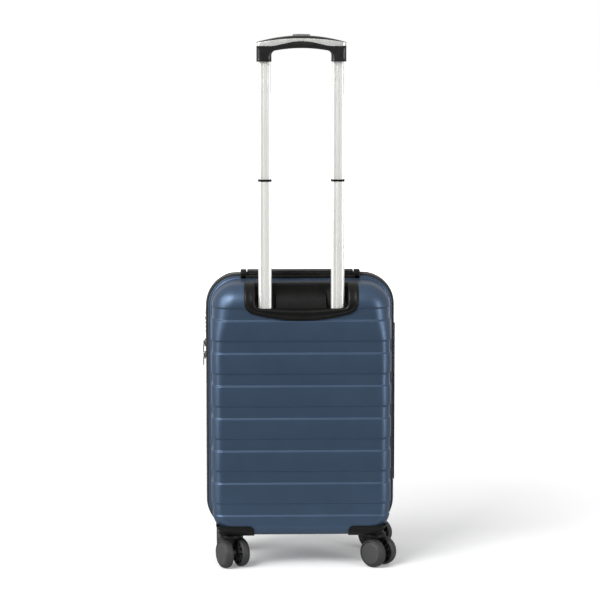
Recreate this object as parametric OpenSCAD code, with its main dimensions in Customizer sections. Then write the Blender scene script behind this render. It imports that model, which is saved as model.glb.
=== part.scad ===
// Hard shell cabin suitcase on four twin wheel casters, standing upright with
// its telescopic handle pulled out. X runs across the width, -Y is the handle
// side (back), +Y the lid side (front), Z is up. The origin is on the floor,
// under the seam between the two shells. All sizes are in millimetres.

/* [Body] */
// Width of the moulded shells, wall to wall
body_w = 334; // [310:1:360]
// Height of the moulded shells, wall to wall
body_h = 473.2; // [455.2:1:500.2]
// Depth of each half, from the seam to its flat face
half_depth = 110; // [104:1:125]
// Height of the shell bottom above the floor
ride_h = 63.4; // [62.8:0.2:72]
// Thickness of the moulded shell
wall = 1.8; // [1.6:0.1:2.4]
// Depth of the recessed channels
channel_depth = 2.2; // [1.4:0.1:2.6]

/* [Handle] */
// Distance between the two telescopic legs
tube_spacing = 134; // [126:1:142]
// How far the middle stage stands out of the shell
stage_1_out = 235; // [180:1:240]
// How far the grip stands out of the middle stage
stage_2_out = 216; // [170:1:220]

/* [Casters] */
// Diameter of the twin wheels
wheel_d = 54; // [48:1:54]
// Distance of the swivel axes from the middle of the case
swivel_x = 134.5; // [128:0.5:136]
// Distance of the swivel axes from the seam
swivel_y = 71; // [70:1:78]
// Trail of the wheel axle behind the swivel axis
trail = 14.5; // [12:0.5:18]

/* [Hidden] */
$fn = 64;

gap = 0.2;              // between pieces that are fixed to each other
slide_gap = 0.3;        // around the telescopic stages
fit = 0.04;             // radial clearance of a shaft in its bore
skin = 0.4;             // half of the gap at the seam

// shells
corner_r = 50;          // corners seen from the back
side_r = 21;            // rounding from the flat face into the side walls
top_r = 37;             // rounding from the flat face into the top wall
run_out = 0.3;          // the roundings meet the walls at a very blunt edge
z_bot = ride_h;
z_top = ride_h + body_h;
z_mid = (z_bot + z_top) / 2;
flange_out = 5.5;       // the stiffening flange stands out of the side walls
flange_w = 6;
tape_w = 13;            // each zipper tape, from the seam to the flange
coil_out = 10.5;        // the coil is the widest line of the case
coil_w = 2.2;
tape_out = 9.3;
tape_t = 1.6;

// recessed channels, one pitch apart, from the handle housing down
channel_n = 7;
channel_h = 23;
channel_pitch = (body_h - 105.2) / 6;
channel_z0 = z_bot + 51.2;   // middle of the lowest channel

// handle
tube_y = -half_depth + 13;
sleeve = [28.3, 16.6];
middle = [24.7, 13];
inner = [21.3, 9.6];
sleeve_t = 1.5;
middle_t = 1.4;
inner_t = 1.2;
recess_w = 172;
lip_z = z_top - 43.5;      // floor of the grip recess
recess_t = 2;
recess_back_y = tube_y + 15;
floor_t = 6;
apron_w = 212;
housing_y = -66;            // the housing ends here on the top wall
apron_z = lip_z - 21.5;    // lowest point of the housing
screw_d = 3;
boss_d = 7;
boss_l = 9;
screw_at = [[-96, lip_z + 2], [96, lip_z + 2], [0, lip_z - 13]];
rod_d = 4;
collar_h = 4;
collar_z = lip_z + stage_1_out + slide_gap;    // underside of the raised collars
leg_z = collar_z + collar_h + stage_2_out;      // underside of the grip legs
pin_z = collar_z - 45;
grip_w = 164;
grip_d = 24;
grip_h = 47;
leg_w = 27.5;
grip_arc_r = 223;
under_arc_r = 262;
button_w = 32;
button_d = 11;
button_out = 2.6;
press = 4;

// lock and zipper
lock_z = z_bot + 365.2;
lock_len = 94;
lock_y = 20;
lock_w = 24;
lock_x = -body_w / 2 - 11;      // outer face
dial_r = 6;
zip_x = -body_w / 2 - coil_out;

// casters: swivel side, then the angle that the wheels trail at
plate_w = 70;
plate_h = 20;
web_t = 15;
wheel_w = 16.5;
wheel_in = 9;           // inner face of a wheel from the middle of the fork
hub_z = wheel_d + 2;
hub_d = 42;             // disc over the wheels, set towards them
hub_h = 5.4;
hub_shift = 0.4 * trail;
boss_z = hub_z + hub_h + gap;
axle_d = 5;
stem_d = 8;
RL = [-swivel_x, -swivel_y, -65];
RR = [swivel_x, -swivel_y, -42];
FL = [-swivel_x, swivel_y, -88];
FR = [swivel_x, swivel_y, -30];

hinge_x = body_w / 2 + 12.2;

blue = [0.16, 0.24, 0.38];
black = [0.09, 0.09, 0.09];
alu = [0.75, 0.75, 0.74];
grey = [0.3, 0.3, 0.31];
cloth = [0.2, 0.2, 0.22];

module rounded(w, h, r) {
    // rectangle with round corners, centred
    square([w - 2 * r, h], center = true);
    square([w, h - 2 * r], center = true);
    for (sx = [-1, 1], sy = [-1, 1])
        translate([sx * (w / 2 - r), sy * (h / 2 - r)]) circle(r);
}

// outline of the case seen from the back, grown by "out"
module outline(out) {
    rounded(body_w + 2 * out, body_h + 2 * out, corner_r + out);
}

// a ring or plate of that outline between two depths
module outline_slab(out, y0, y1) {
    translate([0, y1, z_mid]) rotate([90, 0, 0]) linear_extrude(y1 - y0) outline(out);
}

// the back half as one closed block, shrunk by "inset", up to depth y1
module block(inset, y1) {
    depth = half_depth - inset;
    rs = side_r - inset + run_out;
    rt = top_r - inset + run_out;
    intersection() {
        outline_slab(-inset, -depth, y1);
        translate([0, 0, z_bot - 5]) linear_extrude(body_h + 10) {
            translate([-body_w / 2 - 5, -depth + rs]) square([body_w + 10, depth - rs + y1]);
            translate([-body_w / 2 + side_r, -depth]) square([body_w - 2 * side_r, depth]);
            for (s = [-1, 1]) translate([s * (body_w / 2 - side_r), -depth + rs]) circle(rs);
        }
        rotate([90, 0, 90]) translate([0, 0, -body_w / 2 - 5]) linear_extrude(body_w + 10) {
            translate([-depth + rt, z_bot - 5]) square([depth - rt + y1, body_h + 10]);
            translate([-depth, z_bot + side_r]) square([rt, body_h - side_r - top_r]);
            translate([-depth + rs, z_bot - 5]) square([rt, side_r + 5]);
            translate([-depth + rs, z_bot + side_r]) circle(rs);
            translate([-depth + rt, z_top - top_r]) circle(rt);
        }
    }
}

// the same block with its channels, "inset" inside the outer surface
module ribbed(inset, y1) {
    difference() {
        block(inset, y1);
        for (i = [0:channel_n - 1])
            difference() {
                translate([0, 0, channel_z0 + i * channel_pitch])
                    cube([body_w + 20, 2 * half_depth + 20, channel_h + 2 * inset], center = true);
                block(inset + channel_depth, -tape_w - flange_w + 0.4);
                outline_slab(20, -tape_w - flange_w, half_depth + 20);
            }
    }
}

// one half of the shell: a tray with a stiffening flange at its open edge
module shell_half() {
    difference() {
        union() {
            ribbed(0, -tape_w);
            outline_slab(flange_out, -tape_w - flange_w, -tape_w);
        }
        ribbed(wall, 1);
        outline_slab(-wall, -tape_w - flange_w, 1);
        outline_slab(flange_out - wall, -tape_w - flange_w + wall, 1);
        for (s = [-1, 1]) translate([s * swivel_x, -swivel_y, z_bot - 1])
            cylinder(d = stem_d + 14, h = 14);
    }
}

// the pocket in each lower corner that takes a caster housing
module corner_box(s, grow) {
    translate([s > 0 ? 88 - grow : -body_w / 2 - 1, -half_depth - 5, z_bot - 5])
        cube([body_w / 2 - 87 + grow, half_depth - 32 + 5 + grow, plate_h + 5 + grow]);
}

module back_shell() {
    color(blue) difference() {
        shell_half();
        // opening for the handle housing, out through the top
        translate([-recess_w / 2 - 3, -half_depth - 5, lip_z - floor_t - gap])
            cube([recess_w + 6, recess_back_y + recess_t + gap + half_depth + 5, 80]);
        for (p = screw_at) translate([p[0], -half_depth - 5, p[1]])
            rotate([-90, 0, 0]) cylinder(d = boss_d + 0.4, h = 30);
    }
}

module front_shell() {
    color(blue) mirror([0, 1, 0]) difference() {
        shell_half();
        // pocket for the lock, on the left side wall
        translate([-body_w / 2 - 1, -lock_y - lock_w + 3, lock_z - lock_len / 2 + 3])
            cube([8, lock_w - 6, lock_len - 6]);
    }
}

// half of the zipper: an L shaped tape, with its side of the coil on the edge
module tape_half() {
    difference() {
        outline_slab(tape_out, -tape_w + gap, -skin);
        outline_slab(tape_out - tape_t, -tape_w + gap + tape_t, 1);
        outline_slab(0.5, -tape_w - 1, 1);
    }
    difference() {
        outline_slab(coil_out, -coil_w, -skin);
        outline_slab(tape_out - 0.4, -coil_w - 1, 1);
    }
}

module back_zipper_tape() {
    color(black) difference() {
        tape_half();
        for (s = [-1, 1]) carry_slot(s, 0.4);
    }
}

module front_zipper_tape() {
    color(black) mirror([0, 1, 0]) tape_half();
}

module hinge_strip() {
    translate([body_w / 2 + coil_out + gap, -9, z_mid - 150]) cube([1.2, 9 - skin, 300]);
}

module hinge_tape_case() { color(black) hinge_strip(); }

module hinge_tape_lid() { color(black) mirror([0, 1, 0]) hinge_strip(); }

// a slider that straddles the coil, with an eye for its pull
slider_l = 14;
module slider(z) {
    translate([zip_x, 0, z]) {
        difference() {
            translate([-2.6, -5, -slider_l / 2]) cube([2.2, 10, slider_l]);
            translate([-4, -1.6, -3]) cube([2.2, 3.2, 6]);
        }
        for (s = [-1, 1]) difference() {
            translate([-5, s * 2.6 - 0.8, -3.5]) cube([2.6, 1.6, 7]);
            translate([-4, s * 2.6 - 2, 0]) rotate([-90, 0, 0]) cylinder(d = 1.5, h = 4);
        }
    }
}

upper_z = lock_z - 15;
lower_z = lock_z - 39;

module zipper_slider_upper() { color(grey) slider(upper_z); }

module zipper_slider_lower() { color(grey) slider(lower_z); }

// a pull tab hanging from its slider on a round pin
module pull(z) {
    translate([zip_x - 4, 0, z]) {
        translate([0, -3.6, 0]) rotate([-90, 0, 0]) cylinder(d = 1.42, h = 7.2);
        translate([-0.9, -1.4, -5]) cube([1.5, 2.8, 5.2]);
        difference() {
            translate([-1.3, -4, -19]) cube([2.2, 8, 14.6]);
            translate([-2, 0, -15.5]) rotate([0, 90, 0]) cylinder(d = 3, h = 4);
        }
    }
}

module zipper_pull_upper() { color(black) pull(upper_z); }

module zipper_pull_lower() { color(black) pull(lower_z); }

// combination lock on the lid side of the seam
dial_z = [lock_z + 2, lock_z + 10, lock_z + 18];
dial_x = lock_x + dial_r - 0.8;
dial_y = lock_y + lock_w / 2;
key_z = lock_z + 38;
release_z = lock_z + 27;

module lock_body() {
    color(black) difference() {
        union() {
            translate([lock_x, lock_y, lock_z - lock_len / 2]) cube([11 - gap, lock_w, lock_len]);
            translate([lock_x + 5, lock_y + 3.2, lock_z - lock_len / 2 + 3.2])
                cube([11, lock_w - 6.4, lock_len - 6.4]);
        }
        for (z = dial_z) translate([dial_x, dial_y, z - 2.6]) cylinder(r = dial_r + 0.4, h = 5.2);
        translate([dial_x, dial_y, lock_z - 1.4]) cylinder(d = 2.4, h = 23);
        translate([lock_x - 1, dial_y - 5, release_z - 3.4]) cube([5, 10, 10]);
        translate([lock_x - 1, dial_y, key_z]) rotate([0, 90, 0]) cylinder(r = 4.2 + fit, h = 9);
        for (z = [lock_z - 15, lock_z - 32])
            translate([lock_x - 1, lock_y - 1, z - 4]) cube([5, 9, 8]);
    }
}

module dial(i) {
    translate([dial_x, dial_y, dial_z[i] - 2.2]) difference() {
        cylinder(r = dial_r, h = 4.4);
        for (a = [0:36:324]) rotate(a) translate([dial_r, 0, -1]) cylinder(d = 0.9, h = 7, $fn = 16);
    }
}

module lock_dial_1() { color(grey) dial(0); }

module lock_dial_2() { color(grey) dial(1); }

module lock_dial_3() { color(grey) dial(2); }

module lock_button() {
    color(grey) {
        translate([lock_x - 1.2, dial_y - 4.5, release_z - 3]) cube([4.8, 9, 5]);
    }
}

module key_cylinder() {
    color(alu) translate([lock_x - 0.6, dial_y, key_z]) rotate([0, 90, 0]) difference() {
        cylinder(r = 4.2, h = 8);
        translate([-2.6, -0.5, -1]) cube([5.2, 1, 3]);
    }
}

// outline of the handle housing: round lower corners and a shallow curved foot
module apron_outline(grow) {
    w = apron_w + 2 * grow;
    sag = 17;
    r = (w * w / 4 + sag * sag) / (2 * sag);
    intersection() {
        translate([0, apron_z - grow + r]) circle(r, $fn = 200);
        translate([-w / 2, apron_z - 5]) square([w, z_top - apron_z + 20]);
        union() {
            translate([-w / 2 + 26, apron_z - 5]) square([w - 52, 100]);
            translate([-w / 2, apron_z + 34]) square([w, 80]);
            for (s = [-1, 1]) translate([s * (w / 2 - 26), apron_z + 34]) circle(26);
        }
    }
}

// the space that the stowed grip lies in, back to depth y1
module recess_space(y1) {
    r = 7;
    translate([0, y1, 0]) rotate([90, 0, 0]) linear_extrude(y1 + half_depth + 5) {
        translate([-recess_w / 2, lip_z + r]) square([recess_w, 80]);
        translate([-recess_w / 2 + r, lip_z]) square([recess_w - 2 * r, 80]);
        for (s = [-1, 1]) translate([s * (recess_w / 2 - r), lip_z + r]) circle(r);
    }
}

module handle_housing() {
    color(black) {
        // rim lying on the shell, then the recess with its floor and back wall
        difference() {
            intersection() {
                block_shell(-1.6, -gap);
                translate([0, housing_y, 0]) rotate([90, 0, 0]) linear_extrude(half_depth) apron_outline(0);
            }
            recess_space(recess_back_y);
        }
        difference() {
            intersection() {
                block(-gap, -20);
                translate([-recess_w / 2 - 2.6, -half_depth - 5, lip_z - floor_t])
                    cube([recess_w + 5.2, recess_back_y + recess_t + half_depth + 5, 90]);
            }
            recess_space(recess_back_y);
            for (s = [-1, 1]) leg_at(s)
                translate([0, 0, lip_z - 20]) tube_solid(middle, slide_gap, 60);
        }
        // screw bosses that reach through the shell
        for (p = screw_at) translate([p[0], -half_depth - gap - 0.6, p[1]]) rotate([-90, 0, 0])
            difference() {
                cylinder(d = boss_d, h = boss_l + 0.6);
                translate([0, 0, 1.4]) cylinder(d = screw_d + 0.02, h = boss_l + 1);
            }
    }
}

// screws driven from inside the case
module housing_screws() {
    color(grey) for (p = screw_at)
        translate([p[0], -half_depth - gap + 1.6, p[1]]) rotate([-90, 0, 0]) {
            cylinder(d = screw_d, h = boss_l - 1.6);
            translate([0, 0, boss_l - 1.6 + 0.1]) difference() {
                cylinder(d = 6.4, h = 2.2);
                translate([-2, -0.5, 1.2]) cube([4, 1, 2]);
                translate([-0.5, -2, 1.2]) cube([1, 4, 2]);
            }
            translate([0, 0, boss_l - 1.7]) cylinder(d = screw_d, h = 0.4);
        }
}

// a skin between two insets of the block
module block_shell(inset_a, inset_b) {
    difference() {
        block(inset_a, -20);
        block(inset_b, -19);
    }
}

module leg_at(s) { translate([s * tube_spacing / 2, tube_y, 0]) children(); }

// flat sided telescopic profile with round edges
module tube_solid(size, grow, h) {
    linear_extrude(h) rounded(size[0] + 2 * grow, size[1] + 2 * grow, size[1] / 2 - 1 + grow);
}

module tube(size, t, h) {
    difference() {
        tube_solid(size, 0, h);
        translate([0, 0, -1]) tube_solid(size, -t, h + 2);
    }
}

foot_z = z_bot + 18;
sleeve_h = lip_z - floor_t - gap - foot_z - 4;
middle_l = 400;
inner_l = leg_z - (pin_z - 14);

module sleeve_tube(s) { leg_at(s) translate([0, 0, foot_z + 4]) tube(sleeve, sleeve_t, sleeve_h); }

module sleeve_tube_left() { color(alu) sleeve_tube(-1); }

module sleeve_tube_right() { color(alu) sleeve_tube(1); }

// bracket that ties the lower ends of both sleeves to the shell
module tube_foot() {
    color(black) {
        translate([-tube_spacing / 2 - 20, tube_y - 8, foot_z]) cube([tube_spacing + 40, 17, 3.8]);
        for (s = [-1, 1]) leg_at(s) difference() {
            translate([0, 0, foot_z]) tube_solid(sleeve, 2, 16);
            translate([0, 0, foot_z + 3.8]) tube_solid(sleeve, gap / 2, 18);
        }
    }
}

module middle_tube(s) {
    leg_at(s) translate([0, 0, collar_z - middle_l]) difference() {
        tube(middle, middle_t, middle_l);
        translate([0, 0, pin_z - collar_z + middle_l]) rotate([0, -s * 90, 0]) cylinder(d = 5, h = 20);
    }
}

module middle_tube_left() { color(alu) middle_tube(-1); }

module middle_tube_right() { color(alu) middle_tube(1); }

module middle_collar(s) {
    leg_at(s) translate([0, 0, collar_z + gap / 2]) difference() {
        tube_solid(middle, 0.45, collar_h - gap / 2);
        translate([0, 0, -1]) tube_solid(inner, slide_gap, 10);
    }
}

module middle_collars() { color(black) for (s = [-1, 1]) middle_collar(s); }

module inner_tube(s) {
    leg_at(s) translate([0, 0, leg_z - inner_l]) difference() {
        tube(inner, inner_t, inner_l + 14);
        translate([0, 0, pin_z - leg_z + inner_l]) rotate([0, -s * 90, 0]) cylinder(d = 5, h = 20);
    }
}

module inner_tube_left() { color(alu) inner_tube(-1); }

module inner_tube_right() { color(alu) inner_tube(1); }

// grip outline: arched top, arched underside, two legs
grip_top = leg_z + grip_h;
module grip_outline() {
    difference() {
        intersection() {
            translate([-grip_w / 2, leg_z]) square([grip_w, grip_h]);
            translate([0, grip_top - grip_arc_r]) circle(grip_arc_r, $fn = 200);
            union() {
                translate([-grip_w / 2, leg_z]) square([grip_w, grip_h - 26]);
                translate([-grip_w / 2 + 14, leg_z]) square([grip_w - 28, grip_h]);
                for (s = [-1, 1]) translate([s * (grip_w / 2 - 14), grip_top - 27]) circle(14);
            }
        }
        difference() {
            intersection() {
                translate([0, leg_z + 24.2 - under_arc_r]) circle(under_arc_r, $fn = 200);
                translate([-grip_w / 2 + leg_w, leg_z - 1]) square([grip_w - 2 * leg_w, 40]);
            }
            for (s = [-1, 1]) difference() {
                translate([s * (grip_w / 2 - leg_w - 4) - 4, leg_z + 13]) square([8, 12]);
                translate([s * (grip_w / 2 - leg_w - 8), leg_z + 13]) circle(8);
            }
        }
    }
}

module trim_band(grow) {
    // the band follows the arch and drops straight over the legs
    intersection() {
        translate([0, grip_top - grip_arc_r]) difference() {
            circle(grip_arc_r - 6.4 + grow, $fn = 200);
            circle(grip_arc_r - 11.6 - grow, $fn = 200);
        }
        translate([-grip_w / 2 - 1, leg_z + 20]) square([grip_w + 2, grip_h]);
    }
}

module grip_slab(d) { rotate([90, 0, 0]) translate([0, 0, -tube_y - d / 2]) linear_extrude(d) children(); }

module grip_body() {
    color(black) difference() {
        grip_slab(grip_d) grip_outline();
        // groove for the trim, pocket for the button and its rod bar
        difference() {
            grip_slab(grip_d + 4) trim_band(0.1);
            translate([-grip_w / 2 + 1.3, tube_y - grip_d / 2 + 1.3, leg_z])
                cube([grip_w - 2.6, grip_d - 2.6, 60]);
        }
        translate([-button_w / 2 - 0.4, tube_y - button_d / 2 - 0.4, grip_top - 12])
            cube([button_w + 0.8, button_d + 0.8, 20]);
        translate([-tube_spacing / 2 - 4, tube_y - 3, leg_z + 30 - press])
            cube([tube_spacing + 8, 6, 4.4 + press]);
        translate([-6.4, tube_y - 3, leg_z + 28]) cube([12.8, 6, 12]);
        for (s = [-1, 1]) leg_at(s) {
            translate([0, 0, leg_z - 1]) tube_solid(inner, 0.1, 15.2);
            translate([0, 0, leg_z - 1]) cylinder(d = rod_d + 1.2, h = 30);
        }
    }
}

module grip_trim() {
    color(alu) difference() {
        intersection() {
            grip_slab(grip_d) trim_band(0);
            grip_slab(grip_d) grip_outline();
        }
        translate([-grip_w / 2 + 1.2, tube_y - grip_d / 2 + 1.2, leg_z])
            cube([grip_w - 2.4, grip_d - 2.4, 60]);
    }
}

module grip_button() {
    color(grey) {
        intersection() {
            translate([-button_w / 2, tube_y - button_d / 2, grip_top - 7]) cube([button_w, button_d, 12]);
            grip_slab(button_d) translate([0, grip_top + button_out - grip_arc_r]) circle(grip_arc_r, $fn = 200);
        }
        translate([-6, tube_y - 2.7, leg_z + 34.3]) cube([12, 5.4, grip_h - 41.2]);
    }
}

// cross bar under the button with a rod down each leg
module release_rods() {
    color(alu) {
        translate([-tube_spacing / 2 - 3, tube_y - 2.7, leg_z + 30.2]) cube([tube_spacing + 6, 5.4, 4]);
        for (s = [-1, 1]) leg_at(s)
            translate([0, 0, pin_z + 8]) cylinder(d = rod_d, h = leg_z + 32 - pin_z - 8);
    }
}

// spring pins, drawn back inside the inner tubes
module latch_pin(s) {
    leg_at(s) translate([-s * (inner[0] / 2 - 0.1), 0, pin_z]) rotate([0, s * 90, 0])
        cylinder(r = 2.5 - fit, h = 7);
}

module latch_pin_left() { color(grey) latch_pin(-1); }

module latch_pin_right() { color(grey) latch_pin(1); }

// carry handle: a moulded strap between two end caps, over the seam
cap_x = 112;
cap_w = 12;
cap_z0 = z_top + 5.7;
cap_z1 = z_top + 16.6;
bar_z = cap_z1 - 4.5;
cap_y = -tape_w - flange_w - 1.8;     // the base reaches down over the flange of the back shell
module carry_slot(s, grow) {
    translate([s * (cap_x - cap_w / 2) - 2.2 - grow, -10 - grow, z_top - 15 - grow])
        cube([4.4 + 2 * grow, 6 + 2 * grow, 40]);
}

module carry_handle() {
    color(black) {
        translate([-cap_x + cap_w + 0.5, -12.5, bar_z]) cube([2 * (cap_x - cap_w - 0.5), 19, 3.9]);
        for (s = [-1, 1]) {
            translate([s > 0 ? cap_x - cap_w - 1 : -cap_x + 3.8, -10, bar_z]) cube([cap_w - 2.8, 6, 3.6]);
            translate([s * (cap_x - cap_w / 2) - 2.2, -10, z_top - 10]) cube([4.4, 6, cap_z1 - 1.1 - z_top + 10]);
            translate([s * (cap_x - cap_w / 2) - 3.6, -10, z_top - 10]) cube([7.2, 6, 2.4]);
        }
    }
}

module carry_handle_base() {
    color(black) difference() {
        union() {
            translate([-cap_x + 2, -tape_w - 1.6, cap_z0 + 1]) cube([2 * cap_x - 4, 1.7, 4.4]);
            translate([-cap_x + 2, -tape_w - 1.6, z_top + coil_out + gap]) cube([2 * cap_x - 4, tape_w + 0.8, 1.2]);
            // over the flange and down its face to the top wall
            translate([-cap_x + 1, cap_y, cap_z0]) cube([2 * cap_x - 2, -cap_y - tape_w + 0.1, 1.4]);
            translate([-cap_x + 1, cap_y, z_top + 0.4]) cube([2 * cap_x - 2, 1.6, cap_z0 - z_top]);
            for (s = [-1, 1]) translate([s * (cap_x - cap_w / 2) - cap_w / 2, cap_y, cap_z0]) difference() {
                cube([cap_w, 2.6 - cap_y, cap_z1 - cap_z0]);
                translate([-1, -cap_y - tape_w + 0.1, -1]) cube([cap_w + 2, 20, coil_out - 5.7 + gap + 1]);
            }
        }
        for (s = [-1, 1]) {
            carry_slot(s, 0.3);
            // the strap end lifts out through the inner side of the cap
            translate([s > 0 ? cap_x - cap_w - 2 : -cap_x + 3.4, -10.4, bar_z - 0.4]) cube([cap_w - 1.4, 6.8, 12]);
        }
    }
}

// linings: shallow cloth trays inside each half
module liner(floor_y, in) {
    difference() {
        outline_slab(-in, floor_y, -tape_w - 2);
        outline_slab(-in - liner_t, floor_y + liner_t, 1);
    }
}

liner_in = wall + channel_depth + 0.8;
liner_t = 1.2;
back_floor = recess_back_y + recess_t + 1;
module back_liner() {
    // the walls, glued to the shell all round
    color(cloth) difference() {
        intersection() {
            outline_slab(-liner_in, back_floor + liner_t + gap, -tape_w - 2);
            block(liner_in - 0.4, 1);
        }
        outline_slab(-liner_in - liner_t, back_floor - 1, 1);
        for (s = [-1, 1]) corner_box(s, 4);
        for (s = [-1, 1]) translate([s * (cap_x - cap_w / 2) - 6, -30, z_top - 15]) cube([12, 40, 20]);
    }
}

// the panel that covers the handle tubes
module back_liner_panel() {
    color(cloth) difference() {
        intersection() {
            outline_slab(-liner_in, back_floor, back_floor + liner_t);
            block(liner_in - 0.4, 1);
        }
        for (s = [-1, 1]) corner_box(s, 4);
    }
}

front_floor = -half_depth + wall + channel_depth + 0.8;
module front_liner() {
    color(cloth) mirror([0, 1, 0]) difference() {
        intersection() {
            liner(front_floor, liner_in);
            block(liner_in - 0.4, 1);
        }
        // clear of the lock and of the caster stems
        translate([-body_w / 2, -lock_y - lock_w - 1, lock_z - lock_len / 2])
            cube([9, lock_w + 2, lock_len]);
        for (s = [-1, 1]) corner_box(s, 4);
    }
}

divider_x = body_w / 2 - 12;
module divider_panel() {
    color(cloth) {
        translate([divider_x, 3.6, 0]) rotate([90, 0, 0]) linear_extrude(1.4)
            translate([-divider_x, z_mid]) intersection() {
                rounded(body_w - 26, body_h - 30, 38);
                translate([-body_w / 2, -body_h / 2]) square([divider_x + body_w / 2 - 6, body_h]);
            }
        translate([divider_x - 8, 2.2, z_mid - 150]) cube([8, 1.4, 300]);
    }
}

strap_y = -26;
strap_z = [z_mid - 95, z_mid + 95];
strap_in = liner_in + liner_t;
module packing_straps() {
    color(black) for (z = strap_z, s = [-1, 1]) {
        translate([s > 0 ? 30 : -body_w / 2 + strap_in + gap, strap_y, z - 12.5])
            cube([body_w / 2 - strap_in - gap - 30, 1.4, 25]);
        translate([s > 0 ? body_w / 2 - strap_in - gap - 1.4 : -body_w / 2 + strap_in + gap, strap_y - 22, z - 12.5])
            cube([1.4, 23, 25]);
    }
}

module strap_buckles() {
    color(black) for (z = strap_z) translate([0, strap_y + 0.7, z]) difference() {
        translate([-29.8, -3.5, -15]) cube([59.6, 7, 30]);
        for (s = [-1, 1]) translate([s * 18 - 3, -5, -13]) cube([6, 10, 26]);
    }
}

// caster housing: a cap that wraps the lower corner of a shell
module caster_housing(p) {
    sx = sign(p[0]);
    sy = sign(p[1]);
    mirror([0, sy > 0 ? 1 : 0, 0]) difference() {
        union() {
            intersection() {
                block_shell(-2, -gap);
                corner_box(sx, 0);
            }
            translate([sx * swivel_x, -swivel_y, boss_z]) cylinder(d = hub_d, h = z_bot - boss_z - gap);
            translate([sx * swivel_x, -swivel_y, boss_z]) cylinder(d = 20, h = 22);
        }
        translate([sx * swivel_x, -swivel_y, 0]) cylinder(r = stem_d / 2 + fit, h = 200);
        translate([sx * swivel_x, -swivel_y, hub_z + 24]) cylinder(d = 14, h = 200);
    }
}

module caster_housing_rl() { color(black) caster_housing(RL); }

module caster_housing_rr() { color(black) caster_housing(RR); }

module caster_housing_fl() { color(black) caster_housing(FL); }

module caster_housing_fr() { color(black) caster_housing(FR); }

// everything that swivels is built trailing along +X, then turned
module at_caster(p) { translate([p[0], p[1], 0]) rotate(p[2]) children(); }

module fork() {
    translate([hub_shift, 0, hub_z]) cylinder(d = hub_d, h = hub_h);
    translate([0, 0, hub_z]) cylinder(d = stem_d, h = 24);
    translate([0, 0, hub_z + 24.2]) cylinder(d = 13, h = 1.6);
    translate([0, 0, hub_z + 7]) cylinder(d = stem_d - 1, h = 18.5);
    difference() {
        union() {
            translate([-18, -web_t / 2, wheel_d / 2]) cube([18 + trail, web_t, wheel_d / 2 + 4]);
            translate([trail, web_t / 2, wheel_d / 2]) rotate([90, 0, 0]) cylinder(d = 20, h = web_t);
        }
        translate([-25, -web_t, wheel_d / 2 - 12]) rotate([0, -28, 0]) cube([20, 2 * web_t, 50]);
        translate([trail, 10, wheel_d / 2]) rotate([90, 0, 0]) cylinder(d = axle_d + 0.02, h = 20);
    }
}

module axle() {
    translate([trail, wheel_in + wheel_w - 3, wheel_d / 2]) rotate([90, 0, 0])
        cylinder(d = axle_d, h = 2 * (wheel_in + wheel_w - 3));
}

// wheel on side s, with a hollow inner side and a round tread
module wheel(s) {
    r = wheel_d / 2;
    translate([trail, 0, r]) rotate([-90 * s, 0, 0]) translate([0, 0, wheel_in]) rotate_extrude() {
        difference() {
            union() {
                square([r - 4, wheel_w]);
                translate([0, 4]) square([r, wheel_w - 8]);
                translate([r - 4, 4]) circle(4);
                translate([r - 4, wheel_w - 4]) circle(4);
            }
            translate([-9, -9]) square([9, 40]);
            translate([0, -9]) square([axle_d / 2 + fit, 9 + wheel_w - 2.8]);
            translate([7, -1]) square([r - 7 - 5.5, wheel_w - 4]);
        }
    }
}

module caster_fork_rl() { color(black) at_caster(RL) fork(); }

module caster_fork_rr() { color(black) at_caster(RR) fork(); }

module caster_fork_fl() { color(black) at_caster(FL) fork(); }

module caster_fork_fr() { color(black) at_caster(FR) fork(); }

module caster_axle_rl() { color(alu) at_caster(RL) axle(); }

module caster_axle_rr() { color(alu) at_caster(RR) axle(); }

module caster_axle_fl() { color(alu) at_caster(FL) axle(); }

module caster_axle_fr() { color(alu) at_caster(FR) axle(); }

module wheel_rl_a() { color(grey) at_caster(RL) wheel(-1); }

module wheel_rl_b() { color(grey) at_caster(RL) wheel(1); }

module wheel_rr_a() { color(grey) at_caster(RR) wheel(-1); }

module wheel_rr_b() { color(grey) at_caster(RR) wheel(1); }

module wheel_fl_a() { color(grey) at_caster(FL) wheel(-1); }

module wheel_fl_b() { color(grey) at_caster(FL) wheel(1); }

module wheel_fr_a() { color(grey) at_caster(FR) wheel(-1); }

module wheel_fr_b() { color(grey) at_caster(FR) wheel(1); }

back_shell();
front_shell();
back_zipper_tape();
front_zipper_tape();
hinge_tape_case();
hinge_tape_lid();
zipper_slider_upper();
zipper_slider_lower();
zipper_pull_upper();
zipper_pull_lower();
lock_body();
lock_dial_1();
lock_dial_2();
lock_dial_3();
lock_button();
key_cylinder();
handle_housing();
housing_screws();
sleeve_tube_left();
sleeve_tube_right();
tube_foot();
middle_tube_left();
middle_tube_right();
middle_collars();
inner_tube_left();
inner_tube_right();
grip_body();
grip_trim();
grip_button();
release_rods();
latch_pin_left();
latch_pin_right();
carry_handle();
carry_handle_base();
back_liner();
back_liner_panel();
front_liner();
divider_panel();
packing_straps();
strap_buckles();
caster_housing_rl();
caster_housing_rr();
caster_housing_fl();
caster_housing_fr();
caster_fork_rl();
caster_fork_rr();
caster_fork_fl();
caster_fork_fr();
caster_axle_rl();
caster_axle_rr();
caster_axle_fl();
caster_axle_fr();
wheel_rl_a();
wheel_rl_b();
wheel_rr_a();
wheel_rr_b();
wheel_fl_a();
wheel_fl_b();
wheel_fr_a();
wheel_fr_b();
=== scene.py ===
import math

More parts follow.
